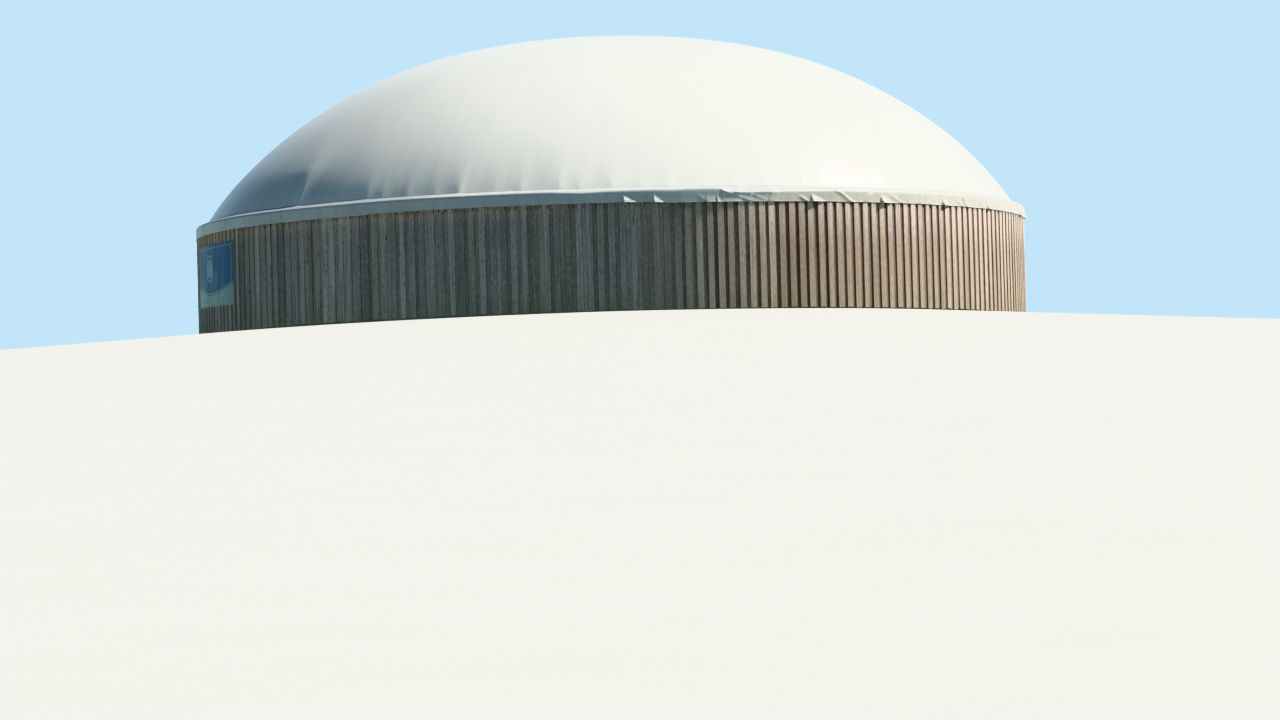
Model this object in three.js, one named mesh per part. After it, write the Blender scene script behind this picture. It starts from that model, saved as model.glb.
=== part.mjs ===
// A round biogas digester: a concrete tank in vertical timber cladding, under an air-supported membrane dome.
//
// Millimetres, +Z up. The origin is the middle of the tank's underside, at ground level.
// An angle is counted in degrees round the tank from -Y, the front, towards +X, the right.
// Every ring is a polygon of 72 sides, so the facets of two rings that lie on each other are parallel.
import * as THREE from "three";

// Driving dimensions
const outerRadius = 11025; // of the weather apron's hanging face
const rimHeight = 2950; // of the apron's shoulder above the ground
const wallHeight = 3000;
const wallThickness = 250;
const floorThickness = 200;
const claddingDepth = 180; // insulation, battens and two layers of boards
const apronThickness = 14; // of the hanging face
const apronDrop = 305; // of the hanging face, shoulder to hem
const footRadius = 10680; // of the dome where the apron leaves it
const footHeight = 3105;
const domeRise = 4680; // of the crown above that foot
// How much the dome stands out past a parabola, as [share, power] pairs; the high powers make it steeper at its foot
const fullness = [
  [0.49, 1],
  [-0.062, 2],
  [0.375, 4.2],
  [0.122, 32],
];
const membraneThickness = 40;
const crownRadius = 1200;
const gap = 0.3; // between pieces that lie on each other

// Worked out from them
const claddingRadius = outerRadius - apronThickness - gap;
const wallRadius = claddingRadius - claddingDepth - gap;
const innerRadius = wallRadius - wallThickness;

const ringSides = 72;
const facet = 360 / ringSides;
const segments = 8; // of each ring
const segmentAngle = 360 / segments;
const radians = THREE.MathUtils.degToRad;

// Finishes
const finish = (color, roughness, metalness = 0) =>
  new THREE.MeshStandardMaterial({ color, roughness, metalness });
const concrete = finish(0x9a9893, 0.9);
const timber = finish(0x6f6a62, 0.85);
const domeMembrane = finish(0xe4e4dd, 0.5);
const apronMembrane = finish(0xb4bcbe, 0.55);
const bannerVinyl = finish(0x1f4e7c, 0.5);
const galvanisedSteel = finish(0x8f9496, 0.45, 0.8);

const part = new THREE.Group();

function addPiece(name, geometry, material) {
  const mesh = new THREE.Mesh(geometry, material);
  mesh.name = name;
  part.add(mesh);
  return mesh;
}

// How far in from its corners a ring's polygon lies at an angle, as a share of the radius.
function facetShare(angle) {
  const fromMiddle = angle - facet * (Math.floor(angle / facet) + 0.5);
  return Math.cos(radians(facet / 2)) / Math.cos(radians(fromMiddle));
}

// The angles of a ring's corners between two angles, with both ends.
function stations(start, end) {
  const list = [start];
  for (let n = Math.floor(start / facet) + 1; n * facet < end - 0.01; n++) {
    if (n * facet > start + 0.01) list.push(n * facet);
  }
  return [...list, end];
}

// A closed solid: a section of [radius, height] points, anticlockwise, swept round the tank between two angles.
function sweptSector(section, start, end) {
  const angles = stations(start, end);
  const positions = [];
  for (const angle of angles) {
    for (const [radius, height] of section) {
      const r = radius * facetShare(angle);
      positions.push(r * Math.sin(radians(angle)), -r * Math.cos(radians(angle)), height);
    }
  }
  const count = section.length;
  const index = [];
  for (let i = 0; i + 1 < angles.length; i++) {
    for (let j = 0; j < count; j++) {
      const a = i * count + j;
      const b = i * count + ((j + 1) % count);
      index.push(a, a + count, b + count, a, b + count, b);
    }
  }
  const lastRow = (angles.length - 1) * count;
  const corners = section.map(([r, z]) => new THREE.Vector2(r, z));
  for (const [a, b, c] of THREE.ShapeUtils.triangulateShape(corners, [])) {
    index.push(a, b, c);
    index.push(lastRow + a, lastRow + c, lastRow + b);
  }
  const geometry = new THREE.BufferGeometry();
  geometry.setAttribute("position", new THREE.Float32BufferAttribute(positions, 3));
  geometry.setIndex(index);
  geometry.computeVertexNormals();
  return geometry;
}

// One ring in equal segments, each a piece of its own, with a hair's gap between neighbours.
function addRing(name, section, firstAngle, material) {
  const outermost = Math.max(...section.map(([radius]) => radius));
  const endGap = THREE.MathUtils.radToDeg(gap / 2 / outermost);
  for (let n = 0; n < segments; n++) {
    const start = firstAngle + n * segmentAngle;
    const end = start + segmentAngle;
    addPiece(`${name}_${n + 1}`, sweptSector(section, start + endGap, end - endGap), material);
  }
}

const rectangle = (innerR, outerR, low, high) => [
  [innerR, low],
  [outerR, low],
  [outerR, high],
  [innerR, high],
];

// Concrete tank: the floor disc, and the wall in eight segments
function addTank() {
  const floorRadius = innerRadius - gap;
  const floor = new THREE.CylinderGeometry(floorRadius, floorRadius, floorThickness, ringSides);
  floor.rotateX(Math.PI / 2);
  floor.translate(0, 0, floorThickness / 2);
  addPiece("tank_floor", floor, concrete);
  addRing("tank_wall", rectangle(innerRadius, wallRadius, 0, wallHeight), 0, concrete);
}

// Timber cladding round the wall, from the ground up to the underside of the apron
const claddingTop = rimHeight - 90;
function addCladding() {
  const section = rectangle(wallRadius + gap, claddingRadius, 0, claddingTop);
  addRing("timber_cladding", section, 20, timber);
}

// The dome's outer surface, as a height over a radius, and its slope there.
function domeHeight(radius) {
  const s = (radius / footRadius) ** 2;
  const past = fullness.reduce((sum, [share, power]) => sum + share * s ** power, 0);
  return footHeight + domeRise * (1 - s) * (1 + past);
}

function domeSlope(radius) {
  const step = 0.5;
  return (domeHeight(radius + step) - domeHeight(radius - step)) / (2 * step);
}

// Below its foot the membrane runs on straight, under the apron, down to the wall's crown.
const footSlope = domeSlope(footRadius);
const domeRadiusBelowFoot = (height) => footRadius + (height - footHeight) / footSlope;

// A point of the membrane's inside, straight in from a point of its outside.
function insidePoint(radius, height, slope) {
  const length = Math.hypot(1, slope);
  return [radius + (membraneThickness * slope) / length, height - membraneThickness / length];
}

// Dome membrane: eight gores from the wall's crown up to a round crown disc
function addDome() {
  const rows = 9;
  const lastTurn = Math.acos(crownRadius / footRadius);
  const seatHeight = wallHeight + gap;
  const seatRadius = domeRadiusBelowFoot(seatHeight);
  const seatWidth = (membraneThickness * Math.hypot(1, footSlope)) / -footSlope;
  const outside = [[seatRadius, seatHeight]];
  const inside = [[seatRadius - seatWidth, seatHeight]];
  for (let n = 0; n <= rows; n++) {
    const radius = footRadius * Math.cos((lastTurn * n) / rows);
    const slope = n < rows ? domeSlope(radius) : 0; // the end at the crown is cut upright
    outside.push([radius, domeHeight(radius)]);
    inside.push(insidePoint(radius, domeHeight(radius), slope));
  }
  addRing("membrane_gore", [...outside, ...inside.reverse()], 20, domeMembrane);

  const discRadius = crownRadius - gap;
  const upper = [1, 0.5, 0].map((share) => [discRadius * share, domeHeight(discRadius * share)]);
  const lower = upper.map(([radius, height]) => [radius, height - membraneThickness]).reverse();
  const profile = [...lower, ...upper];
  const disc = new THREE.LatheGeometry(profile.map(([r, z]) => new THREE.Vector2(r, z)), ringSides);
  disc.rotateX(Math.PI / 2);
  addPiece("membrane_crown", disc, domeMembrane);
}

// Weather apron: it leaves the dome's foot, falls over the wall's crown and hangs down over the boards
function addApron() {
  const seamDepth = 46; // of the edge that lies against the dome
  const lyingOnDome = (height) => [domeRadiusBelowFoot(height) + gap * 1.3, height];
  const faceRadius = outerRadius - apronThickness;
  const hem = rimHeight - apronDrop;
  const outside = [
    [outerRadius, hem],
    [outerRadius, rimHeight - 55],
    [outerRadius - 22, rimHeight],
    [outerRadius - 90, rimHeight + 45],
    [footRadius + 190, rimHeight + 98],
    lyingOnDome(footHeight),
  ];
  const inside = [
    lyingOnDome(footHeight - seamDepth),
    [footRadius + 165, rimHeight + 58],
    [faceRadius - 62, rimHeight - 8],
    [faceRadius, rimHeight - 78],
    [faceRadius, hem],
  ];
  addRing("weather_apron", [...outside, ...inside], 5, apronMembrane);
}

// Banner on the boards at the left of the front, and the two bent steel brackets beside it
const bannerRight = -61.6;
const bannerLeft = -78.25;
const bannerTop = 2365;
const bannerBottom = 710;
const bannerThickness = 12;
const bracketAngle = -82.5; // the middle of a facet
const bracketHeights = { upper: 2258, lower: 870 };
const bracket = { plate: 16, leg: 120, bar: 10, reach: 110, lip: 26, width: 42 };

function addBanner() {
  const back = claddingRadius + gap;
  const section = rectangle(back, back + bannerThickness, bannerBottom, bannerTop);
  addPiece("wall_banner", sweptSector(section, bannerLeft, bannerRight), bannerVinyl);
}

function addBrackets() {
  const { plate, leg, bar, reach, lip, width } = bracket;
  const outline = new THREE.Shape();
  outline.moveTo(0, -leg / 2);
  outline.lineTo(plate, -leg / 2);
  outline.lineTo(plate, -bar / 2);
  outline.lineTo(reach, -bar / 2);
  outline.lineTo(reach, lip);
  outline.lineTo(reach - bar, lip);
  outline.lineTo(reach - bar, bar / 2);
  outline.lineTo(plate, bar / 2);
  outline.lineTo(plate, leg / 2);
  outline.lineTo(0, leg / 2);
  for (const [place, height] of Object.entries(bracketHeights)) {
    const shape = new THREE.ExtrudeGeometry(outline, { depth: width, bevelEnabled: false });
    shape.translate(0, 0, -width / 2);
    shape.rotateX(Math.PI / 2);
    const mesh = addPiece(`banner_bracket_${place}`, shape, galvanisedSteel);
    const seat = (claddingRadius + gap) * facetShare(bracketAngle);
    const turn = radians(bracketAngle);
    mesh.position.set(seat * Math.sin(turn), -seat * Math.cos(turn), height);
    mesh.rotation.z = turn - Math.PI / 2;
  }
}

addTank();
addCladding();
addDome();
addApron();
addBanner();
addBrackets();

export default part;
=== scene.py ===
import math
import random

import bpy
import numpy as np
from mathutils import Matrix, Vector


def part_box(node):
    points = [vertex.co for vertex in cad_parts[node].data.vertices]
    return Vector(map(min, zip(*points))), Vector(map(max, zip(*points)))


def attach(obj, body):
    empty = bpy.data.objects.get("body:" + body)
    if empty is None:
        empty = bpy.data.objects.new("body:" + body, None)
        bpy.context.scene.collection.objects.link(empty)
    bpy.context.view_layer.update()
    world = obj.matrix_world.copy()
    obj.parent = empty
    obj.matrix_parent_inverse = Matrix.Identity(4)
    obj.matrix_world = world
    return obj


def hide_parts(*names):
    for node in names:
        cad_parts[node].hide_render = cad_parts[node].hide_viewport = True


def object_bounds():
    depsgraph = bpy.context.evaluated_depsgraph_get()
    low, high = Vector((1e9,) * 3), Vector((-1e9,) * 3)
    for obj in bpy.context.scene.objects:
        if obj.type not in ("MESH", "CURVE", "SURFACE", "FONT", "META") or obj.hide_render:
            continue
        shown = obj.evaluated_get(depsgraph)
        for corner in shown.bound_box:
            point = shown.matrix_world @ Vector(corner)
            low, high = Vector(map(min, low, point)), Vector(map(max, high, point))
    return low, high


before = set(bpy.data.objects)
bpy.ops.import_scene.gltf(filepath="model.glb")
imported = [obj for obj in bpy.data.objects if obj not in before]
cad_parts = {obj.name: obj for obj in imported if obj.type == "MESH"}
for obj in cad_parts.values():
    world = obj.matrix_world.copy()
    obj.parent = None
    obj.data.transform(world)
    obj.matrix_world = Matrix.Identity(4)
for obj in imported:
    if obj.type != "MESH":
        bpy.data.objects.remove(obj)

# Biogas digester: membrane dome, weather apron, board cladding, banner, on a concrete tank.
# Metres, +Z up. Angles are degrees round the tank, from -Y (the front) towards +X.

cadLow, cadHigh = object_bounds()
outerRadius = cadHigh.x  # of the apron's hanging face
boardFace = outerRadius - 0.015  # radius of the cover boards' face
footRadius = outerRadius - 0.345  # of the dome, where the apron leaves it
apronHem, apronTop = (corner.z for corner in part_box("weather_apron_1"))
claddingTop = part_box("timber_cladding_1")[1].z
ringCount = 8  # segments of each ring in the frame
randomDraw = random.Random(4)


def between(limits):
    return randomDraw.uniform(*limits)


def scatter(most):
    return between((-most, most))


def segmentNames(ring):
    return [f"{ring}_{n + 1}" for n in range(ringCount)]


def ringPoint(radius, angle, height):  # of numbers or of arrays
    turn = np.radians(angle)
    return (radius * np.sin(turn), -radius * np.cos(turn), height)


def outAndSide(angle):  # straight out, and level to the right of that
    return np.array(ringPoint(1.0, angle, 0.0)), np.array(ringPoint(1.0, angle + 90, 0.0))


def wrap(angle):  # to between -180 and 180
    return (angle + 180) % 360 - 180


def byAngle(table, angles):
    return np.interp(angles, list(table), list(table.values()))


def ease(value, low, high):
    share = np.clip((value - low) / (high - low), 0, 1)
    return share * share * (3 - 2 * share)


# Meshes and node trees


def addObject(name, data):
    item = bpy.data.objects.new(name, data)
    bpy.context.collection.objects.link(item)
    return item


def addMesh(name, vertices, faces, material, smooth):
    mesh = bpy.data.meshes.new(name)
    mesh.from_pydata(vertices, [], faces, shade_flat=not smooth)
    mesh.materials.append(material)
    return addObject(name, mesh)


def addPiece(name, slot, vertices, faces, material, smooth=True):
    piece = addMesh(name, vertices, faces, material, smooth)
    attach(piece, "root")
    return piece


def addCoordinates(piece, name, perVertex):
    layer = piece.data.uv_layers.new(name=name)
    layer.data.foreach_set("uv", np.ravel([perVertex[loop.vertex_index] for loop in piece.data.loops]))


def addTone(piece, name, perVertex):
    piece.data.attributes.new(name, "FLOAT", "POINT").data.foreach_set("value", perVertex)


def gridFaces(rows, columns, closed=False):
    across = columns if closed else columns - 1
    for i in range(rows - 1):
        for j in range(across):
            k = (j + 1) % columns
            yield (i * columns + j, i * columns + k, (i + 1) * columns + k, (i + 1) * columns + j)


def shifted(faces, start):
    return [tuple(start + v for v in face) for face in faces]


def addHead(vertices, faces, middle, angle, rings, sides, capped=True):  # (radius, height) rings on a face
    out, side = outAndSide(angle)
    start = len(vertices)
    for radius, height in rings:
        for i in range(sides):
            a = 2 * math.pi * i / sides
            around = side * math.cos(a) + np.array((0, 0, math.sin(a)))
            vertices.append(tuple(middle + around * radius + out * height))
    faces.extend(shifted(gridFaces(len(rings), sides, closed=True), start))
    if capped:
        faces.append(tuple(range(len(vertices) - sides, len(vertices))))


def newMaterial(name, **sockets):
    material = bpy.data.materials.new(name)
    material.use_nodes = True
    shader = material.node_tree.nodes["Principled BSDF"]
    for socket, value in sockets.items():
        shader.inputs[socket].default_value = value
    return material, material.node_tree, shader


def isSocket(value):
    return isinstance(value, bpy.types.NodeSocket)


def addNode(kind, inputs, tree=None, **settings):  # in the tree of its inputs, if none is named
    tree = tree or next(value.id_data for value in inputs.values() if isSocket(value))
    node = tree.nodes.new("ShaderNode" + kind)
    for key, value in settings.items():
        setattr(node, key, value)
    for socket, value in inputs.items():
        if isSocket(value):
            tree.links.new(value, node.inputs[socket])
        else:
            node.inputs[socket].default_value = value
    return node


def onObject(tree):
    return addNode("TexCoord", {}, tree).outputs["Object"]


def mapped(tree, name):
    return addNode("UVMap", {}, tree, uv_map=name).outputs["UV"]


def attribute(tree, name):
    return addNode("Attribute", {}, tree, attribute_name=name).outputs["Fac"]


def maths(operation, first, second=0.0, clamp=False):
    return addNode("Math", {0: first, 1: second}, operation=operation, use_clamp=clamp).outputs[0]


def times(first, second):
    return maths("MULTIPLY", first, second)


def parts(vector):  # x, y and z
    return addNode("SeparateXYZ", {"Vector": vector}).outputs


def spread(value, low, high, newLow=0.0, newHigh=1.0):
    inputs = {"Value": value, "From Min": low, "From Max": high, "To Min": newLow, "To Max": newHigh}
    return addNode("MapRange", inputs, interpolation_type="SMOOTHSTEP").outputs["Result"]


def mixColour(mask, first, second, blend="MIX"):
    first, second = (colour if isSocket(colour) else (*colour, 1.0) for colour in (first, second))
    inputs = {0: mask, 6: first, 7: second}
    return addNode("Mix", inputs, data_type="RGBA", blend_type=blend).outputs[2]


def layOver(colour, mask, share, tint):
    return mixColour(times(mask, share), colour, tint)


def cells(place, scale, output):
    return addNode("TexVoronoi", {"Vector": place, "Scale": scale}).outputs[output]


def stretched(place, scale):
    return addNode("Mapping", {"Vector": place, "Scale": scale}).outputs["Vector"]


def noise(place, scale, detail=4.0, roughness=0.55):
    inputs = {"Vector": place, "Scale": scale, "Detail": detail, "Roughness": roughness}
    return addNode("TexNoise", inputs).outputs["Fac"]


def streaked(place, scale, detail=4.0, roughness=0.55):
    return noise(stretched(place, scale), 1.0, detail, roughness)


def footCoordinates(place, climb):  # a point carried out to the dome's foot, its climb as height
    flat = addNode("VectorMath", {0: place, 1: (1.0, 1.0, 0.0)}, operation="MULTIPLY").outputs[0]
    x, y = parts(addNode("VectorMath", {0: flat}, operation="NORMALIZE").outputs[0])[:2]
    inputs = {"X": times(x, footRadius), "Y": times(y, footRadius), "Z": climb}
    return addNode("CombineXYZ", inputs).outputs[0]


def finishShader(shader, colour, relief=(), roughness=None):
    normal = {}
    for height, distance, strength in relief:
        inputs = {"Height": height, "Distance": distance, "Strength": strength, **normal}
        normal = {"Normal": addNode("Bump", inputs).outputs["Normal"]}
    for socket, value in {"Base Color": colour, "Roughness": roughness, **normal}.items():
        if value:
            shader.id_data.links.new(value, shader.inputs[socket])


# Dome membrane

dome = {
    "rise": cadHigh.z - apronTop,
    "fullness": ((0.49, 1), (-0.062, 2), (0.375, 4.2), (0.122, 32)),  # past a parabola: (share, power)
    "skirt": 0.14,  # height that runs on under the apron
    "apronEdge": 0.2,  # metres up the membrane at which the apron ends
    "bands": ((2160, 24), (720, 30), (240, 20), (80, 6)),  # of the mesh: columns and rows, foot to crown
    "crowding": 1.25,  # of the mesh's rows towards the foot
    "lastRow": 0.994,  # how far up the last one lies
    "flat": (26.0, 26.0),
    "cutArea": 440.0,
    "pleatEvery": 3.95,  # degrees, on average
    "pleatStray": 0.45,  # share of that, either way
    "pleatHeight": (0.006, 0.026),
    "pleatWidth": (0.09, 0.2),
    "pleatReach": (0.5, 1.5),  # up the membrane
    "pleatSizes": (1, 1, 1, 1.7),  # one in four is larger
    "smoothSide": (235, 315),  # the lee side, with hardly a pleat
    "smoothShare": 0.25,  # of a pleat's height there
    "frontPleats": {  # angle: (height, width, reach, where it begins if further up)
        -48.0: (0.052, 0.28, 2.2, 1.0), -47.15: (0.038, 0.1, 1.4), -40.0: (0.008, 0.34, 1.0),
        -34.4: (0.037, 0.3, 1.6), -31.9: (0.018, 0.16, 1.0), -27.9: (0.019, 0.2, 1.2),
        -23.8: (0.015, 0.2, 1.1), -20.3: (0.05, 0.22, 1.9), -15.4: (0.014, 0.16, 0.9),
        -11.7: (0.016, 0.12, 0.7), -6.6: (0.02, 0.13, 0.8), -3.9: (0.012, 0.09, 0.5),
        0.4: (0.013, 0.11, 0.6), 4.1: (0.008, 0.1, 0.5), 7.7: (0.013, 0.1, 0.6),
        12.8: (0.009, 0.09, 0.5), 17.25: (0.008, 0.09, 0.5),
    },
    "pleatLee": 1.7,  # how much wider a pleat is on its left
    "pleatOpens": 0.9,  # and a metre up, past its width at the foot
    "pleatEnds": 2.2,  # in its reaches up
    "pleatWithin": 12,  # degrees either way, past which nothing is left
    "pleatCrest": (0.05, 0.2),  # its rounding: at the foot, and more a metre up
    "slackDepth": 0.042,  # how far the lee side hangs in
    "slackSide": (-140, -110, -60, -32),  # angles: it begins, is full, is full until, ends
    "slackClimb": (0.1, 2.2, 8.0),  # metres up: it begins, is deepest, ends
    "pleatLean": 0.027,  # degrees away from the front a metre up, for each degree of its own angle
    "leanUntil": 60,  # degrees from the front
    "white": (0.82, 0.82, 0.78),
    "dust": (0.50, 0.50, 0.46),
    "seam": (0.55, 0.55, 0.52),
    "gores": 36,  # welded strips, foot to crown
}


def domeHeight(radius):
    s = (radius / footRadius) ** 2
    past = sum(share * s ** power for share, power in dome["fullness"])
    return apronTop + dome["rise"] * (1 - s) * (1 + past)


def domeSlope(radius):
    step = 0.01
    return (domeHeight(radius) - domeHeight(radius - step)) / step


def domePleats():
    pleats = [(angle, *size) for angle, size in dome["frontPleats"].items()]
    angle = max(dome["frontPleats"]) + dome["pleatEvery"]
    last = min(dome["frontPleats"]) + 360 - dome["pleatEvery"] / 2
    while angle < last:
        height = between(dome["pleatHeight"]) * randomDraw.choice(dome["pleatSizes"])
        if dome["smoothSide"][0] < angle < dome["smoothSide"][1]:
            height *= dome["smoothShare"]
        width = between(dome["pleatWidth"])
        pleats.append((angle, height, width, between(dome["pleatReach"])))
        angle += dome["pleatEvery"] * (1 + scatter(dome["pleatStray"]))
    return pleats


def pleatRelief(angles, climb, pleats):
    relief = np.zeros_like(angles)
    atFoot, further = dome["pleatCrest"]
    rounding = atFoot + further * climb
    for angle, height, width, reach, *begins in pleats:
        front = wrap(angle)
        lean = dome["pleatLean"] * front * climb if abs(front) < dome["leanUntil"] else 0.0
        away = wrap(angles - angle - lean)
        near = np.abs(away) < dome["pleatWithin"]
        sideways = np.radians(np.abs(away[near])) * footRadius
        lee = np.where(away[near] < 0, dome["pleatLee"], 1.0)
        wide = width * (1 + dome["pleatOpens"] * climb) * lee
        fade = max(0.0, 1 - climb / (dome["pleatEnds"] * reach)) ** 2
        if begins:
            fade *= min(1.0, climb / begins[0]) ** 1.5
        relief[near] += height * fade * np.exp(-(np.hypot(sideways, rounding) - rounding) / wide)
    return relief


def domeSlack(angles, climb):
    front = wrap(angles)
    first, full, fullUntil, last = dome["slackSide"]
    begins, deepest, ends = dome["slackClimb"]
    side = ease(front, first, full) * (1 - ease(front, fullUntil, last))
    return dome["slackDepth"] * side * ease(climb, begins, deepest) * (1 - ease(climb, deepest, ends))


def domeMaterial():
    material, tree, shader = newMaterial("domeMembraneCoated", Roughness=0.6)
    place = onObject(tree)
    climb = attribute(tree, "climb")  # metres up from the foot
    cloth = footCoordinates(place, climb)

    cloudy = noise(place, 0.35, 3.0)
    streaks = streaked(cloth, (2.6, 2.6, 0.16), 6.0, 0.6)
    fineStreaks = streaked(cloth, (14.0, 14.0, 0.5))
    dirt = times(spread(streaks, 0.42, 0.75), spread(climb, 2.6, 0.1))
    dirt = maths("ADD", dirt, times(spread(cloudy, 0.45, 0.8), 0.14))
    dirt = maths("ADD", dirt, times(fineStreaks, 0.10))
    colour = mixColour(times(dirt, 0.28), dome["white"], dome["dust"])

    x, y = parts(place)[:2]
    turn = times(maths("ARCTAN2", x, y), footRadius)
    strip = 2 * math.pi * footRadius / dome["gores"]
    seam = spread(maths("PINGPONG", turn, strip / 2), 0.032, 0.026)
    colour = layOver(colour, seam, 0.07, dome["seam"])

    weave = noise(place, 260.0, 2.0)
    slack = streaked(cloth, (0.9, 0.9, 0.22), 3.0)
    relief = [(slack, 0.03, 0.5), (seam, 0.002, 0.25), (weave, 0.0006, 0.3)]
    finishShader(shader, colour, relief, spread(cloudy, 0.2, 0.8, 0.27, 0.34))
    return material


def buildDome(pleats):
    slope = domeSlope(footRadius)
    counts = [columns for columns, rows in dome["bands"] for _ in range(rows)]
    radii = [footRadius - share * dome["skirt"] / slope for share in (1, 0.5)]
    for n in range(len(counts) - len(radii)):
        turned = math.pi / 2 * dome["lastRow"] * (n / len(counts)) ** dome["crowding"]
        radii.append(footRadius * math.cos(turned))
    climb = 0.0
    vertices, climbs, faces = [], [], []
    for row, (radius, columns) in enumerate(zip(radii, counts)):
        height = domeHeight(radius) if radius <= footRadius else apronTop + slope * (radius - footRadius)
        if row:
            climb += math.dist((radius, height), before)
            faces.extend(joinRings(len(vertices) - counts[row - 1], counts[row - 1], columns))
        before = (radius, height)
        tilt = math.atan2(1.0, -domeSlope(radius))
        angles = np.arange(columns) * 360.0 / columns
        overApron = max(0.0, climb - dome["apronEdge"])
        out = pleatRelief(angles, overApron, pleats) - domeSlack(angles, overApron)
        outward, upward = out * math.cos(tilt), out * math.sin(tilt)
        vertices.extend(zip(*ringPoint(radius + outward, angles, height + upward)))
        climbs.extend([climb] * columns)
    top = len(vertices)
    vertices.append((0.0, 0.0, domeHeight(0.0)))
    climbs.append(climb)
    faces.extend((top - columns + j, top - columns + (j + 1) % columns, top) for j in range(columns))
    piece = addPiece("domeMembrane", "dome_membrane", vertices, faces, domeMaterial())
    addTone(piece, "climb", climbs)
    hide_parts(*segmentNames("membrane_gore"), "membrane_crown")


def joinRings(start, below, above):  # two rings in a row, by their numbers of columns
    if below == above:
        yield from shifted(gridFaces(2, below, closed=True), start)
        return
    for j in range(above):  # three columns below meet one above
        a = [start + (3 * j + i) % below for i in range(4)]
        b, c = start + below + j, start + below + (j + 1) % above
        yield (a[0], a[1], b)
        yield (a[1], a[2], c, b)
        yield (a[2], a[3], c)


pleats = domePleats()
buildDome(pleats)
print("dome membrane: pleated at the foot, smooth to the crown")


# Weather apron

apron = {
    "firstAngle": 5,  # of the first of eight lengths
    "columns": 400,  # in each
    "section": [  # (distance in, drop below its top), from the edge on the dome to the hem
        (0.318, 0.043), (0.307, 0.053), (0.26, 0.069), (0.18, 0.089), (0.112, 0.113), (0.072, 0.126),
        (0.046, 0.137), (0.025, 0.15), (0.011, 0.167), (0.004, 0.189), (0.003, 0.202), (0.002, 0.215),
        (0.0025, 0.24), (0.003, 0.265), (0.004, 0.295), (0.005, 0.325), (0.0055, 0.355), (0.006, 0.385),
        (0.0065, 0.4105), (0.007, 0.436), (0.007, 0.4465), (0.007, apronTop - apronHem - 0.003),
    ],
    "shoulderRow": 9,
    "pleatRows": 3.5,  # over which the dome's pleats fade out of its edge
    "lift": (7, 6),  # row at which the shoulder's lift is full, and the rows over which it ends
    "ruffle": (6, 2.5),  # the same for its wave
    "turnedUp": ((0.002, 0.004), (0.045, 0.006)),  # its welded edge inside: (height over the hem, in)
    "onDome": (0.81, 0.585),  # shares of a pleat's height, out and up, that its edge takes over
    "kickTop": 0.3,  # where a kick begins, as a share of the hang from the shoulder to the hem
    "kickBack": 0.03,  # width of a kick's steep side
    "flares": [  # (first angle, last, share of the hang it begins at, reach at hem and shoulder)
        (12.2, 13.75, 0.42, 0.026, 0.0), (14.3, 17.2, 0.5, 0.013, 0.01), (16.0, 22.3, 0.6, 0.003, 0.012),
    ],
    "flareEnds": 0.3,  # degrees over which it fades
    "bulgeDepth": 0.3,  # share of the hang over which the reach under the shoulder fades
    "lip": {4.5: 0, 7: 0.003, 14: 0.002, 60: 0.003, 80: 0},  # angle: the edge's turn out
    "hemOut": {17: 0, 20.5: 0.007, 23: 0.006, 24.5: 0},  # angle: the face's lean out at its foot
    "calm": {7: 1, 8.5: 0.3, 20: 0.3, 26: 1},  # angle: share of the wave
    "kicks": {  # angle: (how far out, width), the hem's folds that catch the light
        1.75: (0.11, 0.34), 5.6: (0.08, 0.25), 13.85: (0.038, 0.13), 27.0: (0.07, 0.4),
    },
    "kickEvery": 11.0,  # degrees, past those
    "kickReach": (0.03, 0.1),
    "kickWidth": (0.2, 0.45),
    "stray": 0.6,  # of a kick or a crease, share of the distance to the next
    "smoothSide": 85.0,  # degrees left of the front without a fold
    "creases": [  # (angle of its top and foot, both in the hang, height, left and right width)
        (11.6, 12.6, 0.45, 1.0, 0.008, 0.10, 0.12), (14.5, 18.2, 0.0, 0.8, 0.014, 0.10, 0.12),
        (18.5, 17.6, 0.3, 0.9, 0.012, 0.04, 0.14), (18.6, 20.6, 0.3, 0.8, 0.01, 0.12, 0.04),
        (21.4, 20.7, 0.2, 0.9, 0.012, 0.04, 0.2), (25.4, 26.8, 0.5, 1.0, 0.022, 0.14, 0.04),
        (31.0, 33.5, 0.0, 1.0, 0.024, 0.2, 0.05), (36.0, 34.6, 0.2, 1.0, 0.02, 0.05, 0.2),
    ],
    "creasesFrom": 40.0,  # where they become random
    "creaseEvery": 3.4,
    "creaseLean": 2.5,
    "creaseSizes": (  # its steep and its flat width, top, foot, height
        (0.04, 0.06), (0.1, 0.22), (0, 0.5), (0.8, 1), (0.006, 0.024),
    ),
    "creaseEnd": 0.15,  # share of a crease over which it fades, in and out
    "shoulderLift": {  # angle: metres
        -38: 0, -30: 0.02, -8: 0.018, -5.7: 0, -3.5: -0.018, 0: 0.006, 6: 0.022, 8.5: 0.012,
        10: 0.03, 13.6: 0.034, 14.4: 0.02, 15.8: -0.045, 18: -0.06, 20: -0.04, 25: -0.025, 31: 0,
    },
    "hemLift": {-34: -0.006, -31: 0.016, 5: 0.016, 8: -0.012, 12: -0.012, 24: 0},
    "wave": 0.012,
    "still": 0.35,  # share of the wave that is left where the face is quietest
    "shoulderWave": 0.006,
    "hemWave": 0.006,
    "waves": {  # (lengths round the tank, seed)
        "busy": ((23, 14), 3), "face": ((1.9, 1.1, 0.73, 0.51), 5),
        "shoulder": ((2.3, 0.9, 0.42, 0.21), 7), "hem": ((3.1, 1.7, 0.8), 9),
    },
    "grey": (0.57, 0.60, 0.64),
    "greyPaintedSunlit": (0.66, 0.62, 0.57),  # painted sunlight: a warmer, lighter face where it turns to the sun
    "strip": (0.52, 0.54, 0.53),  # over the rim, down to the shoulder
    "stripPaintedShade": (0.37, 0.41, 0.44),  # painted shade: the same, darker and bluer on the left
    "dust": (0.36, 0.37, 0.375),
}


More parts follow.
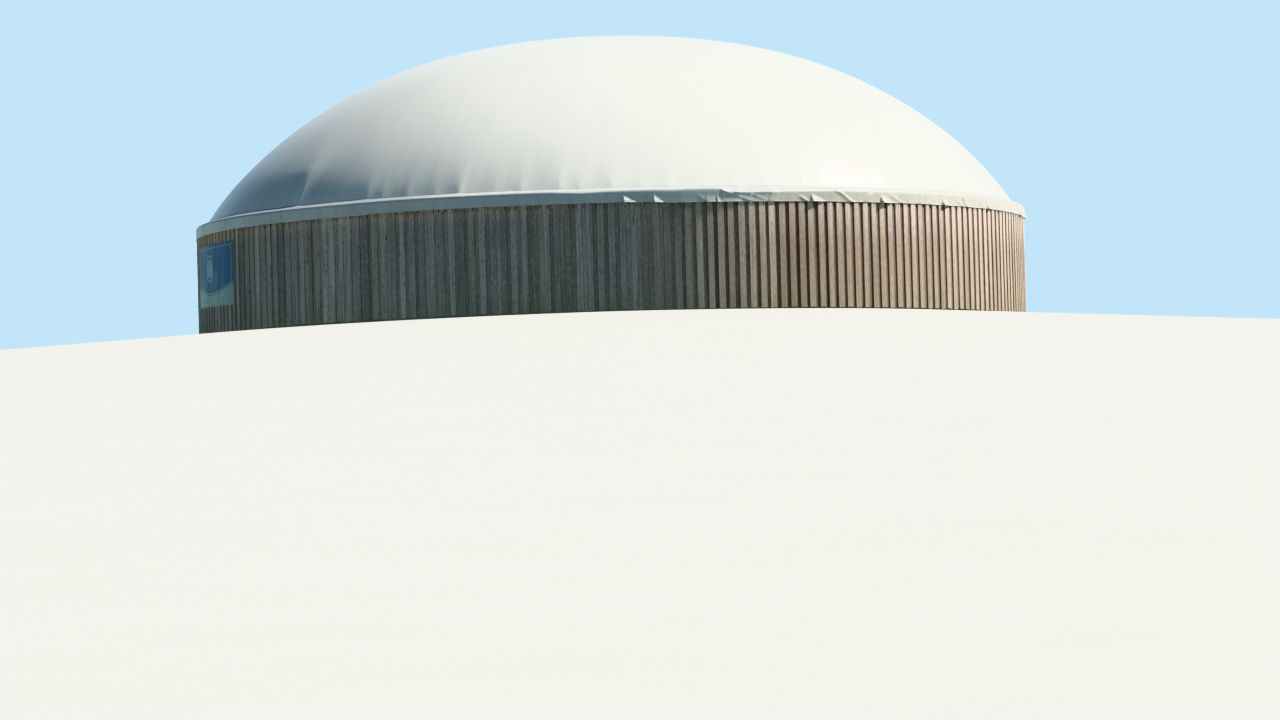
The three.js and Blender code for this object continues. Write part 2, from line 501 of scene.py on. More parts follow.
def apronMaterial():
    material, tree, shader = newMaterial("apronMembraneCoated", Roughness=0.45)
    place = onObject(tree)
    cloth = mapped(tree, "cloth")
    down = parts(cloth)[1]  # metres from the edge on the dome
    streaks = streaked(cloth, (7.0, 0.9, 1.0), 5.0, 0.6)
    cloudy = noise(place, 0.8, 3.0)
    dirt = times(spread(streaks, 0.4, 0.75), 0.32)
    dirt = maths("ADD", dirt, times(spread(cloudy, 0.4, 0.75), 0.35))
    dirt = maths("ADD", dirt, spread(down, 0.0, 0.05, 0.8, 0.0), True)  # darker along its edge on the dome
    east = parts(place)[0]
    # painted sunlight: the face turns warmer and lighter towards the sun
    face = mixColour(spread(east, 3.3, 4.4), apron["grey"], apron["greyPaintedSunlit"])
    # painted shade: the strip darkens on the side away from the sun
    strip = mixColour(spread(east, -5.2, -3.9), apron["stripPaintedShade"], apron["strip"])
    clean = mixColour(spread(down, 0.27, 0.35), strip, face)
    colour = layOver(clean, dirt, 0.7, apron["dust"])
    weave = noise(place, 260.0, 2.0)
    slack = streaked(cloth, (3.0, 1.6, 1.0), 3.0)
    relief = [(slack, 0.012, 0.6), (weave, 0.0006, 0.35)]
    finishShader(shader, colour, relief, spread(cloudy, 0.2, 0.8, 0.38, 0.55))
    return material


def apronFolds():
    folds = dict(apron["kicks"])
    angle = max(folds) + apron["kickEvery"]
    while angle < 360 - apron["smoothSide"]:
        folds[angle] = (between(apron["kickReach"]), between(apron["kickWidth"]))
        angle += apron["kickEvery"] * (1 + scatter(apron["stray"]))
    return folds


def smoothWave(angles, name):
    lengths, seed = apron["waves"][name]
    draw = random.Random(seed)
    total = np.zeros_like(angles)
    for length in lengths:
        turns = round(2 * math.pi * outerRadius / length)
        total += np.sin(np.radians(angles) * turns + draw.uniform(0, 6.28)) * draw.uniform(0.5, 1.0)
    return total / len(lengths)


def apronCreases():
    creases = list(apron["creases"])
    angle = apron["creasesFrom"]
    while angle < 360 - apron["smoothSide"]:
        lean = scatter(apron["creaseLean"])
        sharp, soft, top, foot, height = map(between, apron["creaseSizes"])
        sides = (sharp, soft) if lean < 0 else (soft, sharp)
        creases.append((angle, angle + lean, top, foot, height, *sides))
        angle += apron["creaseEvery"] * (1 + scatter(apron["stray"]))
    return creases


def creaseRelief(angles, down, creases):
    relief = np.zeros_like(angles)
    end = apron["creaseEnd"]
    for topAngle, footAngle, top, foot, height, left, right in creases:
        along = (down - top) / (foot - top)
        fade = min(1.0, (along + end) / (2 * end), (1 + end - along) / (2 * end))
        if fade > 0:
            away = wrap(angles - (topAngle + (footAngle - topAngle) * along))
            metres = np.radians(away) * outerRadius
            shape = np.where(metres < 0, 1 + metres / left, 1 - metres / right)
            relief += height * fade * np.clip(shape, 0, 1) ** 1.3
    return relief


def apronRow(angles, row, folds, creases, pleats):
    section = apron["section"]
    inward, drop = section[row]
    lastRow = len(section) - 1
    shoulder = apron["shoulderRow"]
    down = max(0.0, (row - shoulder) / (lastRow - shoulder))
    shoulderDrop = section[shoulder][1]
    hang = (drop - shoulderDrop) / (section[-1][1] - shoulderDrop)
    front = wrap(angles)
    pleated = max(0.0, 1 - row / apron["pleatRows"]) * pleatRelief(angles, 0.0, pleats)
    out = outerRadius - inward + apron["onDome"][0] * pleated
    z = apronTop - drop + apron["onDome"][1] * pleated
    full, fades = apron["lift"]
    lift = max(0.0, 1 - abs(row - full) / fades) ** 0.7
    z += lift * byAngle(apron["shoulderLift"], front) + down * byAngle(apron["hemLift"], front)
    if row >= shoulder - 3:
        out += creaseRelief(angles, down, creases)

    still = apron["still"]
    busy = still + (1 - still) * np.clip(smoothWave(angles, "busy") + 0.4, 0, 1)
    wave = busy * (0.5 + 0.5 * smoothWave(angles, "face"))
    out += apron["wave"] * byAngle(apron["calm"], front) * down * wave
    full, fades = apron["ruffle"]
    z += apron["shoulderWave"] * math.exp(-((row - full) / fades) ** 2) * smoothWave(angles, "shoulder")
    z += apron["hemWave"] * down * smoothWave(angles, "hem")

    kick = max(0.0, (hang - apron["kickTop"]) / (1 - apron["kickTop"]))
    for angle, (reach, width) in folds.items():
        metres = np.radians(wrap(angles - angle)) * outerRadius
        wide = max(width * kick ** 0.8, 1e-3)
        right = np.clip(1 - metres / wide, 0, 1) * (metres >= 0)
        left = np.clip(1 + metres / apron["kickBack"], 0, 1) * (metres < 0)
        out += reach * kick * (right + left)
    for first, last, begins, reach, bulge in apron["flares"]:
        ends = apron["flareEnds"]
        within = np.clip((front - first) / ends, 0, 1) * np.clip((last - front) / ends, 0, 1)
        out += within * reach * max(0.0, (hang - begins) / (1 - begins))
        out += within * bulge * math.exp(-(hang / apron["bulgeDepth"]) ** 2)
    atEdge = max(0.0, 1 - (lastRow - row) / 2)
    out += down * byAngle(apron["hemOut"], front) + atEdge * byAngle(apron["lip"], front)
    return out, z


def buildApron(pleats):
    material = apronMaterial()
    folds = apronFolds()
    creases = apronCreases()
    lengthAngle = 360 / ringCount
    section = apron["section"]
    steps = [math.dist(a, b) for a, b in zip(section, section[1:])]
    alongSection = [sum(steps[:row]) for row in range(len(section))]
    for n, node in enumerate(segmentNames("weather_apron")):
        start = apron["firstAngle"] + n * lengthAngle
        angles = np.linspace(start, start + lengthAngle, apron["columns"])
        turn = np.radians(angles)
        vertices, cloth = [], []
        for row, along in enumerate(alongSection):
            r, z = apronRow(angles, row, folds, creases, pleats)
            vertices.extend(zip(*ringPoint(r, angles, z)))
            cloth.extend((a * outerRadius, along) for a in turn)
        for lift, inward in apron["turnedUp"]:
            vertices.extend(zip(*ringPoint(r - inward, angles, z + lift)))
            cloth.extend((a * outerRadius, along + lift) for a in turn)
        rows = len(section) + len(apron["turnedUp"])
        faces = [face[::-1] for face in gridFaces(rows, len(angles))]
        piece = addPiece(f"weatherApron{n + 1}", "apron_membrane", vertices, faces, material)
        addCoordinates(piece, "cloth", cloth)
        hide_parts(node)


buildApron(pleats)
print("weather apron: eight lengths with folds along the hem")


# Board cladding

boards = {
    "count": 256,
    "firstCover": 0.155,  # its angle
    "coverWidth": 0.158,
    "baseWidth": 0.168,
    "thickness": 0.025,
    "foot": 0.035,  # above the ground
    "lengthSteps": 7,
    "arris": 0.003,
    "layerGap": 0.001,  # between cover and base boards
    "belowTop": 0.02,  # a cover board's end, under the frame's cladding
    "rise": (0.04, 0.08),  # of a base board's top above the apron's hem
    "varies": {  # either way, from board to board
        "angle": 0.06, "width": 0.07, "foot": 0.012, "face": 0.0015, "twist": 0.03, "bow": 0.003,
    },
    "bends": (0.8, 2.2),  # of the bow, in the board's length
    "grainStarts": (0, 60),
    "tones": (3.6, 3.3),  # shape of their spread
    "baseTone": 0.7,  # share of it
    "marked": {  # angle: (tone, warmth) of boards that stand out at the front
        -59.2: (0.05, 0.5), -55.3: (0.95, 0.95), -49.4: (0.0, 0.4), -43.1: (0.2, 1.0),
        -39.8: (0.9, 0.5), -36.9: (0.85, 0.4), -33.5: (0.1, 0.3), -14.4: (0.9, 0.3), -13.2: (0.2, 0.5),
        -10.3: (0.0, 0.1), -8.8: (0.85, 0.05), -5.4: (0.2, 0.7), -3.8: (0.75, 0.3), 0.9: (0.2, 0.9),
        2.0: (0.6, 0.3), 3.5: (0.65, 0.6), 4.8: (0.2, 0.9), 9.2: (0.2, 0.6), 11.4: (0.7, 0.95),
        12.8: (0.52, 0.95), 14.2: (0.5, 0.95), 15.6: (0.35, 1.0), 17.0: (0.65, 0.5), 18.4: (0.8, 0.3),
        19.8: (0.72, 0.6), 21.25: (0.9, 0.4), 22.7: (0.3, 0.8), 24.1: (0.2, 0.9), 25.5: (0.2, 0.6),
    },
    "drift": {  # angle: tone added
        -46: 0, -40: 0.12, -32: 0.12, -26: 0, -20: -0.05, -12: -0.07, -7: -0.2, 5: -0.17,
        9: -0.02, 11: 0,
    },
    "paleGrey": (0.70, 0.62, 0.615),
    "midGrey": (0.47, 0.41, 0.405),
    "darkGrey": (0.26, 0.22, 0.215),
    "brown": (0.44, 0.31, 0.22),
    "sunBleachedAndLitTop": (1.52, 1.42, 1.30),  # tints of cover boards that face the sun: partly sun-bleached wood, partly painted sunlight
    "sunBleachedAndLitFoot": (1.02, 0.91, 0.77),
    "baseBoardPaintedShade": (0.56, 0.53, 0.50),  # painted shade on base boards between them, which the cover boards shadow
    "brownedBase": (1.05, 0.93, 0.84),  # a browner tint of the base boards, further round
    "shelteredTint": (1.28, 1.17, 1.08),  # under the apron, on the side away from the sun
    "tan": (0.62, 0.50, 0.33),
    # drip stains below the hem, and a painted shadow line just under it
    "hemStainAndShadow": (0.10, 0.09, 0.085),
    "knot": (0.045, 0.035, 0.028),
    "check": (0.03, 0.03, 0.028),
    "algae": (0.26, 0.29, 0.20),
}


def woodMaterial(name, outermost):
    material, tree, shader = newMaterial(name, Roughness=0.85)
    shader.inputs["Specular IOR Level"].default_value = 0.25
    grainMap = mapped(tree, "grain")  # across and along, with an offset for each board
    east, _, height = parts(onObject(tree))
    tone = attribute(tree, "boardTone")
    warmth = attribute(tree, "boardWarmth")

    def grain(across, along, detail=4.0, roughness=0.55):
        return streaked(grainMap, (across, along, 1.0), detail, roughness)

    fibres = grain(150.0, 2.2, 6.0, 0.65)
    rings = maths("PINGPONG", times(grain(26.0, 0.55, 3.0, 0.5), 14.0), 1.0)
    patches = grain(5.0, 0.8)
    checks = spread(grain(90.0, 0.9, 2.0), 0.66, 0.72)
    stains = grain(21.0, 0.35, 4.0, 0.6)
    mottle = grain(20.0, 8.0, 3.0, 0.6)
    knot = spread(cells(stretched(grainMap, (4.2, 1.5, 1.0)), 1.0, "Distance"), 0.09, 0.04)
    drips = grain(24.0, 5.0, 3.0, 0.6)
    sheltered = times(spread(height, apronHem - 0.42, apronHem), spread(east, -0.5, -2.0))
    # drip stains run down from the hem; the thin band right under it is painted shadow
    hemStainAndShadow = times(spread(height, apronHem - 0.17, apronHem - 0.02), spread(drips, 0.48, 0.6))
    hemStainAndShadow = maths("ADD", hemStainAndShadow, spread(height, apronHem - 0.06, apronHem - 0.03, 0.0, 0.1), True)
    damp = times(spread(height, 0.75, 0.05), spread(patches, 0.3, 0.6))

    colour = mixColour(spread(tone, 0.0, 0.55), boards["darkGrey"], boards["midGrey"])
    colour = mixColour(spread(tone, 0.45, 1.0), colour, boards["paleGrey"])
    for mask, share, tint in (
        (spread(warmth, 0.8, 1.0), 0.3, "brown"),
        (spread(warmth, 0.3, 0.0), 0.35, "algae"),
        (spread(mottle, 0.5, 0.66), 0.6, "darkGrey"),
        (spread(mottle, 0.47, 0.33), 0.45, "paleGrey"),
        (spread(stains, 0.48, 0.62), 0.6, "darkGrey"),
        (spread(stains, 0.44, 0.3), 0.5, "paleGrey"),
        (rings, 0.28, "darkGrey"),
        (fibres, 0.35, "paleGrey"),
        (spread(patches, 0.45, 0.8), 0.45, "darkGrey"),
        (knot, 0.5, "knot"),
        (checks, 0.7, "check"),
    ):
        colour = layOver(colour, mask, share, boards[tint])
    colour = mixColour(sheltered, colour, boards["shelteredTint"], "MULTIPLY")
    colour = layOver(colour, hemStainAndShadow, 0.6, boards["hemStainAndShadow"])
    colour = layOver(colour, damp, 0.3, boards["algae"])
    if outermost:
        # partly sun-bleached wood, partly painted sunlight; darker towards the foot
        sunBleachedAndLit = mixColour(spread(height, 1.4, 2.7), boards["sunBleachedAndLitFoot"], boards["sunBleachedAndLitTop"])
        colour = mixColour(spread(east, 1.8, 4.6), colour, sunBleachedAndLit, "MULTIPLY")
        west = times(spread(east, -9.2, -9.9), spread(height, 2.1, 2.5))
        colour = layOver(colour, west, 0.6, boards["tan"])
    else:
        # painted shade: base boards darker where the cover boards cast their shadow on them
        colour = mixColour(spread(east, 1.2, 2.6), colour, boards["baseBoardPaintedShade"], "MULTIPLY")
        colour = mixColour(spread(east, 2.6, 4.0), colour, boards["brownedBase"], "MULTIPLY")
    relief = [(rings, 0.0012, 0.5), (fibres, 0.0014, 0.7), (checks, -0.004, 0.6), (knot, 0.001, 0.4)]
    finishShader(shader, colour, relief, spread(fibres, 0.2, 0.8, 0.95, 0.72))
    return material


def boardVaries(name):
    return scatter(boards["varies"][name])


def boardSolid(angle, face, width, bends, foot, top, twist):
    arris = boards["arris"]
    half = width / 2
    thick = boards["thickness"]
    outline = [  # (across, out from the back)
        (-half, 0.0), (half, 0.0), (half, thick - arris), (half - arris, thick),
        (-half + arris, thick), (-half, thick - arris),
    ]
    out, side = outAndSide(angle)
    steps = boards["lengthSteps"]
    seedU, seedV = between(boards["grainStarts"]), between(boards["grainStarts"])
    bow = boardVaries("bow")
    vertices, grain = [], []
    for i in range(steps):
        t = i / (steps - 1)
        z = foot + (top - foot) * t
        sway = bow * math.sin(math.pi * t * bends)
        for across, depth in outline:
            cup = twist * across * (t - 0.5)
            point = out * (face - thick + depth + cup) + side * (across + sway)
            vertices.append((point[0], point[1], z))
            grain.append((seedU + across + depth, seedV + z))
    count = len(outline)
    faces = [tuple(range(count))[::-1], tuple(range((steps - 1) * count, steps * count))]
    faces.extend(gridFaces(steps, count, closed=True))
    return vertices, faces, grain


def boardLayer(name, material, face, width, offset, nodes):
    vertices, faces, grain, tones, warmths = [], [], [], [], []
    pitch = 360 / boards["count"]
    for n in range(boards["count"]):
        angle = boards["firstCover"] + (n + offset) * pitch + boardVaries("angle")
        wide = width * (1 + boardVaries("width"))
        foot = boards["foot"] + boardVaries("foot")
        twist = boardVaries("twist")
        outerFace = face + boardVaries("face")
        top = claddingTop - boards["belowTop"] if nodes else apronHem + between(boards["rise"])
        made = boardSolid(angle, outerFace, wide, between(boards["bends"]), foot, top, twist)
        faces.extend(shifted(made[1], len(vertices)))
        vertices.extend(made[0])
        grain.extend(made[2])
        tone, warmth = randomDraw.betavariate(*boards["tones"]), randomDraw.random()
        tone = tone * (1.0 if nodes else boards["baseTone"]) + byAngle(boards["drift"], wrap(angle))
        for markedAngle, look in boards["marked"].items():
            if abs(wrap(angle - markedAngle)) < pitch / 2:
                tone, warmth = look
        tones.extend([tone] * len(made[0]))
        warmths.extend([warmth] * len(made[0]))
    piece = addPiece(name, "timber", vertices, faces, material, smooth=False)
    addCoordinates(piece, "grain", grain)
    addTone(piece, "boardTone", tones)
    addTone(piece, "boardWarmth", warmths)
    if nodes:
        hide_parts(*nodes)


def buildCladding():
    covers, bases = woodMaterial("coverWood", True), woodMaterial("baseWood", False)
    boardLayer("coverBoards", covers, boardFace, boards["coverWidth"], 0.0, segmentNames("timber_cladding"))
    behind = boardFace - boards["thickness"] - boards["layerGap"]
    boardLayer("baseBoards", bases, behind, boards["baseWidth"], 0.5, [])
    return bases


# What lies behind the boards, and shows from below

backing = {
    "battenHeights": (0.3, 1.02, 1.74, 2.46),
    "battenDeep": 0.04,
    "battenHigh": 0.06,
    "columns": 72,
    "grainStep": 0.95,  # metres from one to the next
    "look": (0.6, 0.9),  # a batten's tone and warmth
    "clear": 0.006,  # of the boards
    "jacket": (0.003, 0.09),  # of insulation, from the wall
    "jacketFoot": 0.05,
    "belowTop": 0.01,  # of the frame's cladding
    "foilDark": (0.06, 0.06, 0.062),
    "foilPale": (0.12, 0.12, 0.12),
}


def ringSolid(inner, outer, low, high, columns):
    vertices = []
    for radius, height in ((inner, low), (outer, low), (outer, high), (inner, high)):
        vertices.extend(ringPoint(radius, 360 * j / columns, height) for j in range(columns))
    faces = [tuple(v % (4 * columns) for v in face) for face in gridFaces(5, columns, closed=True)]
    return vertices, faces


def jacketMaterial():
    material, tree, shader = newMaterial("insulationFoil", Roughness=0.5)
    crumple = noise(onObject(tree), 9.0, 6.0)
    colour = mixColour(crumple, backing["foilDark"], backing["foilPale"])
    finishShader(shader, colour, [(crumple, 0.01, 0.6)])
    return material


def buildBacking(wood):
    back = boardFace - 2 * boards["thickness"] - backing["clear"]
    columns, step = backing["columns"], backing["grainStep"]
    vertices, faces, grain = [], [], []
    for height in backing["battenHeights"]:
        low, high = height - backing["battenHigh"] / 2, height + backing["battenHigh"] / 2
        made = ringSolid(back - backing["battenDeep"], back, low, high, columns)
        faces.extend(shifted(made[1], len(vertices)))
        vertices.extend(made[0])
        grain.extend((v[2] + 0.3 * (i // columns), i % columns * step) for i, v in enumerate(made[0]))
    battens = addPiece("battens", "timber", vertices, faces, wood, smooth=False)
    addCoordinates(battens, "grain", grain)
    for name, value in zip(("boardTone", "boardWarmth"), backing["look"]):
        addTone(battens, name, [value] * len(vertices))
    wallRadius = -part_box("tank_wall_1")[0].y
    inside, outside = (wallRadius + depth for depth in backing["jacket"])
    made = ringSolid(inside, outside, backing["jacketFoot"], claddingTop - backing["belowTop"], 2 * columns)
    addPiece("insulationJacket", "timber", *made, jacketMaterial(), smooth=False)


# Nails in the cover boards

nails = {
    "rings": ((0.006, -0.0025), (0.006, 0.0014), (0.0036, 0.002)),  # of a head: radius, height
    "sides": 6,
    "fromEdge": 0.045,
    "scatter": (0.008, 0.02),  # across and up
    "rust": (0.16, 0.08, 0.04),
    "zinc": (0.25, 0.25, 0.25),
}


def nailMaterial():
    material, tree, shader = newMaterial("nailHeads", Roughness=0.6, Metallic=0.7)
    rust = noise(onObject(tree), 30.0, 3.0)
    finishShader(shader, mixColour(spread(rust, 0.4, 0.6), nails["zinc"], nails["rust"]))
    return material


def buildNails():
    vertices, faces = [], []
    reach = boards["coverWidth"] / 2 - nails["fromEdge"]
    wide, high = nails["scatter"]
    for n in range(boards["count"]):
        angle = boards["firstCover"] + n * 360 / boards["count"]
        out, side = outAndSide(angle)
        for height in backing["battenHeights"]:
            for edge in (-1, 1):
                middle = out * boardFace + side * (edge * reach + scatter(wide))
                middle[2] = height + scatter(high)
                addHead(vertices, faces, middle, angle, nails["rings"], nails["sides"])
    addPiece("boardNails", "galvanised_steel", vertices, faces, nailMaterial(), smooth=False)


# Banner

banner = {
    "angles": (-78.25, -61.6),
    "columns": 132,
    "rows": 66,
    "standOff": 0.007,  # from the boards
    "ripple": (0.007, 0.45, 0.75),  # depth, the folds' share, the share held back at top and foot
    "folds": ((23, 1.5, 0, 1), (41, -4, 1.3, 0.6), (5, 9, 0, 0.5)),  # turn across, up, phase, size
    "sag": 0.01,  # of the edge between two eyelets
    "footLift": 0.05,  # of its lower left corner
    "eyelets": (8, 5),  # along the top and up a side
    "eyeletInset": 0.04,
    "eyeletRings": (  # (radius, height) of the ring, then of the screw's head in it
        (0.019, 0.0061), (0.018, 0.0086), (0.014, 0.0096), (0.0105, 0.0081), (0.01, 0.0061),
        (0.0085, 0.0106), (0.006, 0.0126), (0.0, 0.0131),
    ),
    "eyeletSides": 14,
    "hill": (1.35, 2.6, 0.15, 0.46),  # radians a metre, phase, height of the wave, height of its middle
    "discAt": (0.42, 0.62),  # shares of the width and height
    "disc": 0.25,  # its radius
    "ring": (0.31, 0.36),
    "border": (0.085, 0.10),  # from the edge
    "blue": (0.022, 0.105, 0.235),
    "blueFaded": (0.05, 0.16, 0.29),
    "paleGreen": (0.30, 0.42, 0.40),
    "paleBlue": (0.22, 0.36, 0.47),
    "line": (0.42, 0.52, 0.55),
    "grime": (0.16, 0.17, 0.16),
}
bannerLow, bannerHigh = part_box("wall_banner")
bannerRadius = boardFace + banner["standOff"]
bannerWidth = math.radians(banner["angles"][1] - banner["angles"][0]) * bannerRadius
bannerHeight = bannerHigh.z - bannerLow.z


def band(value, low, high, soft=0.004):
    rising = spread(value, low - soft, low + soft)
    falling = spread(value, high + soft, high - soft)
    return times(rising, falling)


def bannerMaterial():
    material, tree, shader = newMaterial("bannerPrinted", Roughness=0.5)
    cloth = mapped(tree, "cloth")  # metres from the lower left corner
    across, up = parts(cloth)[:2]
    fading = streaked(cloth, (1.2, 0.8, 1.0))
    colour = mixColour(spread(fading, 0.35, 0.75), banner["blue"], banner["blueFaded"])
    # a soft hill of pale green along the foot
    turns, phase, waveHigh, middle = banner["hill"]
    hill = maths("SINE", maths("ADD", times(across, turns), phase))
    hillTop = maths("ADD", times(hill, waveHigh), middle)
    overHill = maths("SUBTRACT", up, hillTop)
    colour = mixColour(spread(overHill, 0.003, -0.003), colour, banner["paleGreen"])
    colour = mixColour(band(overHill, 0.03, 0.055), colour, banner["line"])
    # a plain disc in a ring over it
    dx = maths("SUBTRACT", across, bannerWidth * banner["discAt"][0])
    dy = maths("SUBTRACT", up, bannerHeight * banner["discAt"][1])
    away = maths("SQRT", maths("ADD", times(dx, dx), times(dy, dy)))
    disc = spread(away, banner["disc"] + 0.003, banner["disc"] - 0.003)
    colour = mixColour(disc, colour, banner["paleBlue"])
    colour = mixColour(band(away, *banner["ring"]), colour, banner["paleBlue"])
    # a light line inside the edge
    edgeX = maths("MINIMUM", across, maths("SUBTRACT", bannerWidth, across))
    edgeY = maths("MINIMUM", up, maths("SUBTRACT", bannerHeight, up))
    edge = maths("MINIMUM", edgeX, edgeY)
    colour = mixColour(band(edge, *banner["border"]), colour, banner["line"])
    grime = streaked(cloth, (9.0, 1.1, 1.0))
    colour = layOver(colour, spread(grime, 0.45, 0.8), 0.3, banner["grime"])
    weave = streaked(cloth, (700.0, 700.0, 1.0), 1.0)
    slack = streaked(cloth, (4.0, 2.5, 1.0), 3.0)
    relief = [(slack, 0.006, 0.5), (weave, 0.0004, 0.3)]
    finishShader(shader, colour, relief, spread(fading, 0.2, 0.8, 0.42, 0.6))
    return material


def bannerAngle(share):  # of the banner's width
    left, right = banner["angles"]
    return left + (right - left) * share


def bannerPoint(share, lift, out):  # lift is a share of its height
    height = bannerLow.z + bannerHeight * lift + banner["footLift"] * (1 - share) * (1 - lift) ** 2
    return ringPoint(bannerRadius + out, bannerAngle(share), height)


def buildBanner():
    columns, rows = banner["columns"], banner["rows"]
    vertices, cloth = [], []
    alongTop, upSide = (n - 1 for n in banner["eyelets"])
    ripple, folded, held = banner["ripple"]
    for i in range(rows):
        lift = i / (rows - 1)
        edge = abs(2 * lift - 1)
        for share in np.linspace(0, 1, columns):
            hang = banner["sag"] * abs(math.sin(math.pi * share * alongTop)) * edge ** 6
            pull = banner["sag"] * abs(math.sin(math.pi * lift * upSide)) * abs(2 * share - 1) ** 10
            inward = pull / bannerWidth * (1 if share < 0.5 else -1)
            fold = sum(size * math.sin(a * share + b * lift + c) for a, b, c, size in banner["folds"])
            out = ripple * (1 + folded * fold) * (1 - held * edge ** 8)
            x, y, z = bannerPoint(share + inward, lift, out)
            vertices.append((x, y, z + hang * (1 if lift < 0.5 else -1)))
            cloth.append((share * bannerWidth, lift * bannerHeight))
    faces = list(gridFaces(rows, columns))
    piece = addPiece("wallBanner", "banner_vinyl", vertices, faces, bannerMaterial())
    addCoordinates(piece, "cloth", cloth)
    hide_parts("wall_banner")
    buildEyelets()


def buildEyelets():
    insets = [banner["eyeletInset"] / size for size in (bannerWidth, bannerHeight)]
    along, up = (np.linspace(inset, 1 - inset, count) for inset, count in zip(insets, banner["eyelets"]))
    places = [(share, lift) for share in along for lift in (up[0], up[-1])]
    places += [(share, lift) for lift in up[1:-1] for share in (along[0], along[-1])]
    vertices, faces = [], []
    for share, lift in places:
        middle = np.array(bannerPoint(share, lift, 0.0))
        addHead(vertices, faces, middle, bannerAngle(share), banner["eyeletRings"], banner["eyeletSides"],
                capped=False)
    steel = steelMaterial("eyeletSteel", 0.35)
    return addPiece("bannerEyelets", "galvanised_steel", vertices, faces, steel)


# Steel

zinc = {
    "pale": (0.50, 0.52, 0.53),
    "dark": (0.36, 0.38, 0.40),
    "stain": (0.26, 0.22, 0.18),
}


def steelMaterial(name, roughness):
    material, tree, shader = newMaterial(name, Metallic=0.85)
    place = onObject(tree)
    grey = addNode("SeparateColor", {"Color": cells(place, 90.0, "Color")}).outputs[0]
    dull = noise(place, 14.0, 4.0)
    colour = mixColour(times(grey, 0.4), zinc["pale"], zinc["dark"])
    colour = mixColour(spread(dull, 0.55, 0.8), colour, zinc["stain"])
    gloss = spread(dull, 0.3, 0.8, roughness, roughness + 0.25)
    finishShader(shader, colour, [(grey, 0.0004, 0.3)], gloss)
    return material


bolts = {
    "angle": -82.5,  # of the brackets
    "plateFace": outerRadius - 0.0087,
    "spacing": 0.08,
    "washer": ((0.0135, -0.002), (0.0135, 0.0025)),  # rings: radius, height over the plate
    "head": ((0.011, -0.002), (0.011, 0.0085), (0.00946, 0.01)),
    "sides": 6,
}


def buildBolts():
    vertices, faces = [], []
    for place in ("upper", "lower"):
        low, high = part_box(f"banner_bracket_{place}")
        for offset in (-0.5, 0.5):
            height = (low.z + high.z) / 2 + offset * bolts["spacing"]
            middle = np.array(ringPoint(bolts["plateFace"], bolts["angle"], height))
            addHead(vertices, faces, middle, bolts["angle"], bolts["washer"], 4 * bolts["sides"])
            addHead(vertices, faces, middle, bolts["angle"], bolts["head"], bolts["sides"])
    steel = steelMaterial("boltSteel", 0.45)
    addPiece("bracketBolts", "galvanised_steel", vertices, faces, steel, smooth=False)


# The frame's own solids that show

concrete = {
    "dark": (0.40, 0.39, 0.37),
    "pale": (0.54, 0.53, 0.50),
    "grit": (0.32, 0.31, 0.29),
    "pore": (0.18, 0.175, 0.165),
}


def concreteMaterial():
    material, tree, shader = newMaterial("castConcrete", Roughness=0.88)
    place = onObject(tree)
    cloudy = noise(place, 0.9, 6.0, 0.6)
    grit = noise(place, 60.0, 4.0, 0.7)
    pore = spread(cells(place, 22.0, "Distance"), 0.12, 0.05)
    colour = mixColour(cloudy, concrete["dark"], concrete["pale"])
    colour = layOver(colour, grit, 0.4, concrete["grit"])
    colour = layOver(colour, pore, 0.5, concrete["pore"])
    finishShader(shader, colour, [(grit, 0.003, 0.5), (pore, -0.004, 0.6)])
    return material


def dressFrame():
    finishes = {"tank_": concreteMaterial(), "banner_bracket": steelMaterial("galvanisedBrackets", 0.4)}
    for name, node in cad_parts.items():
        for start, material in finishes.items():
            if name.startswith(start):
                node.data.materials.clear()
                node.data.materials.append(material)


wood = buildCladding()
buildBacking(wood)
buildNails()
print("cladding: cover boards over base boards, nailed")
buildBanner()
print("banner: hung on its eyelets")
buildBolts()
dressFrame()
print("tank and brackets: finished, the brackets with their bolts")


# Ground, light and camera

floor = {
    "flatRadius": outerRadius + 0.02,
    "fall": 4.2,  # degrees, so that the camera below sees the boards' feet
    "rings": (0.3, 1.0, 3.0, 12.0, 60.0),  # metres past the flat
    "reach": 420.0,
    "columns": 180,
    "pale": (0.62, 0.62, 0.60),
    "shade": (0.58, 0.58, 0.56),
}


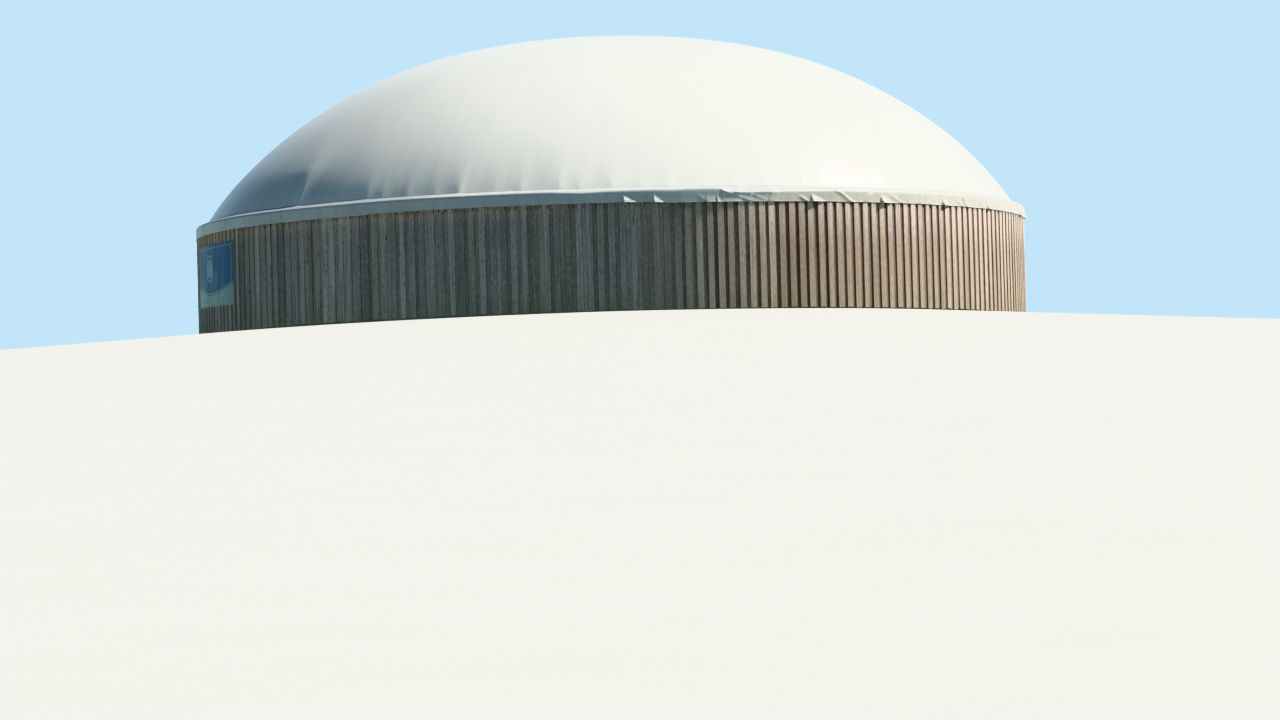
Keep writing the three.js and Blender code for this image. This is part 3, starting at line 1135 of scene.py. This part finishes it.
def buildGround():
    material, tree, shader = newMaterial("paleGround", Roughness=0.9)
    mottle = noise(onObject(tree), 0.4, 3.0)
    finishShader(shader, mixColour(mottle, floor["pale"], floor["shade"]))
    columns = floor["columns"]
    flat = floor["flatRadius"]
    radii = [flat * 0.5, flat, *(flat + past for past in floor["rings"]), floor["reach"]]
    vertices = []
    for radius in radii:
        drop = max(0.0, radius - flat) * math.tan(math.radians(floor["fall"]))
        vertices.extend(ringPoint(radius, 360 * j / columns, -0.001 - drop) for j in range(columns))
    faces = [face[::-1] for face in gridFaces(len(radii), columns, closed=True)]
    faces.append(tuple(range(columns)))
    ground = addMesh("ground", vertices, faces, material, smooth=False)
    ground.visible_diffuse = False  # light from below comes from the world's dark half


sky = {
    "horizon": (0.87, 1.30, 1.60),
    "behind": (0.60, 0.83, 1.0),  # over the horizon behind the tank, which its rim reflects
    "overhead": (0.035, 0.08, 0.16),
    "below": (0.32, 0.375, 0.245),
    "sunStrength": 8.0,
    "sunSoftness": 4.0,  # degrees
    "sunFromVertical": 42.6,
    "sunTurn": 7.5,  # degrees from +X towards +Y
    "sunColour": (1.0, 0.96, 0.87),
}


def buildLight():
    world = bpy.data.worlds.new("paleSky")
    bpy.context.scene.world = world
    world.use_nodes = True
    tree = world.node_tree
    _, away, up = parts(addNode("TexCoord", {}, tree).outputs["Generated"])
    behind = times(spread(away, 0.74, 0.97), spread(up, 0.75, 0.35))
    upper = mixColour(behind, sky["overhead"], sky["behind"])
    colour = mixColour(spread(up, 0.115, 0.17), sky["horizon"], upper)
    colour = mixColour(spread(up, 0.02, 0.0), colour, sky["below"])
    tree.links.new(colour, tree.nodes["Background"].inputs["Color"])
    light = bpy.data.lights.new("sun", "SUN")
    light.energy = sky["sunStrength"]
    light.angle = math.radians(sky["sunSoftness"])
    light.color = sky["sunColour"]
    sun = addObject("sun", light)
    sun.rotation_euler = (0, math.radians(sky["sunFromVertical"]), math.radians(sky["sunTurn"]))
    bpy.context.scene.view_settings.view_transform = "Khronos PBR Neutral"


view = {
    "place": (0.0, -133.257, -5.872),
    "turn": (92.1855, 1.5338, -0.2406),
    "lens": 140.625,  # millimetres, like the sensor
    "sensor": 36.0,
    "farthest": 2000.0,
}


def buildCamera():
    data = bpy.data.cameras.new("camera")
    data.lens = view["lens"]
    data.sensor_width = view["sensor"]
    data.clip_end = view["farthest"]
    camera = addObject("camera", data)
    camera.location = view["place"]
    camera.rotation_euler = [math.radians(a) for a in view["turn"]]
    bpy.context.scene.camera = camera


buildGround()
buildLight()
buildCamera()
print("ground, light and camera: set")
